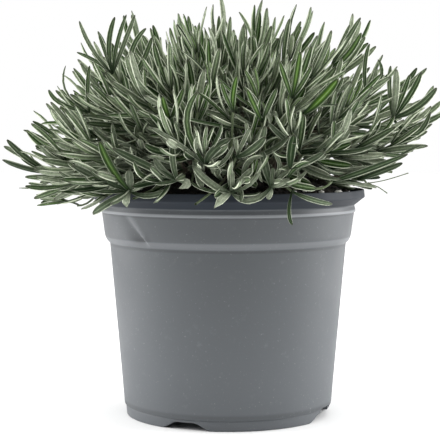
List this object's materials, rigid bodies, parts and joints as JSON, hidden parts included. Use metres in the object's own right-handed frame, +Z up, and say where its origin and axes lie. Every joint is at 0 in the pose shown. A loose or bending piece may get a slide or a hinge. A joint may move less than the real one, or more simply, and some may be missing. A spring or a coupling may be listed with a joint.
{
  "type": "potted lavender",
  "caption": "Young lavender plant with narrow grey-green leaves on fanning stems, in a round tapered nursery pot with a collar and lip.",
  "frame": {"origin": "middle of the pot's base, on the surface that it stands on", "axes": "+Z up, -Y towards the front of the pot, +X to the right seen from the front"},
  "size_m": [0.3082, 0.2753, 0.2882],
  "materials": {
    "pot_plastic": "matte blue-grey",
    "potting_mix": "damp peat and bark",
    "foliage": "softly felted leaf"
  },
  "bodies": {
    "root": {"pot": "pot_plastic", "potting_soil": "potting_mix", "leafy_stem_01": "foliage", "leafy_stem_02": "foliage", "leafy_stem_03": "foliage", "leafy_stem_04": "foliage", "leafy_stem_05": "foliage", "leafy_stem_06": "foliage", "leafy_stem_07": "foliage", "leafy_stem_08": "foliage", "leafy_stem_09": "foliage", "leafy_stem_10": "foliage", "leafy_stem_11": "foliage", "leafy_stem_12": "foliage", "leafy_stem_13": "foliage", "leafy_stem_14": "foliage", "leafy_stem_15": "foliage", "leafy_stem_16": "foliage", "leafy_stem_17": "foliage", "leafy_stem_18": "foliage", "leafy_stem_19": "foliage", "leafy_stem_20": "foliage", "leafy_stem_21": "foliage", "leafy_stem_22": "foliage", "leafy_stem_23": "foliage", "leafy_stem_24": "foliage", "leafy_stem_25": "foliage", "leafy_stem_26": "foliage", "leafy_stem_27": "foliage", "leafy_stem_28": "foliage", "leafy_stem_29": "foliage", "leafy_stem_30": "foliage", "leafy_stem_31": "foliage", "leafy_stem_32": "foliage", "leafy_stem_33": "foliage", "leafy_stem_34": "foliage", "leafy_stem_35": "foliage", "leafy_stem_36": "foliage", "leafy_stem_37": "foliage", "leafy_stem_38": "foliage", "leafy_stem_39": "foliage", "leafy_stem_40": "foliage", "leafy_stem_41": "foliage", "leafy_stem_42": "foliage", "leafy_stem_43": "foliage", "leafy_stem_44": "foliage", "leafy_stem_45": "foliage", "leafy_stem_46": "foliage"}
  },
  "joints": []
}
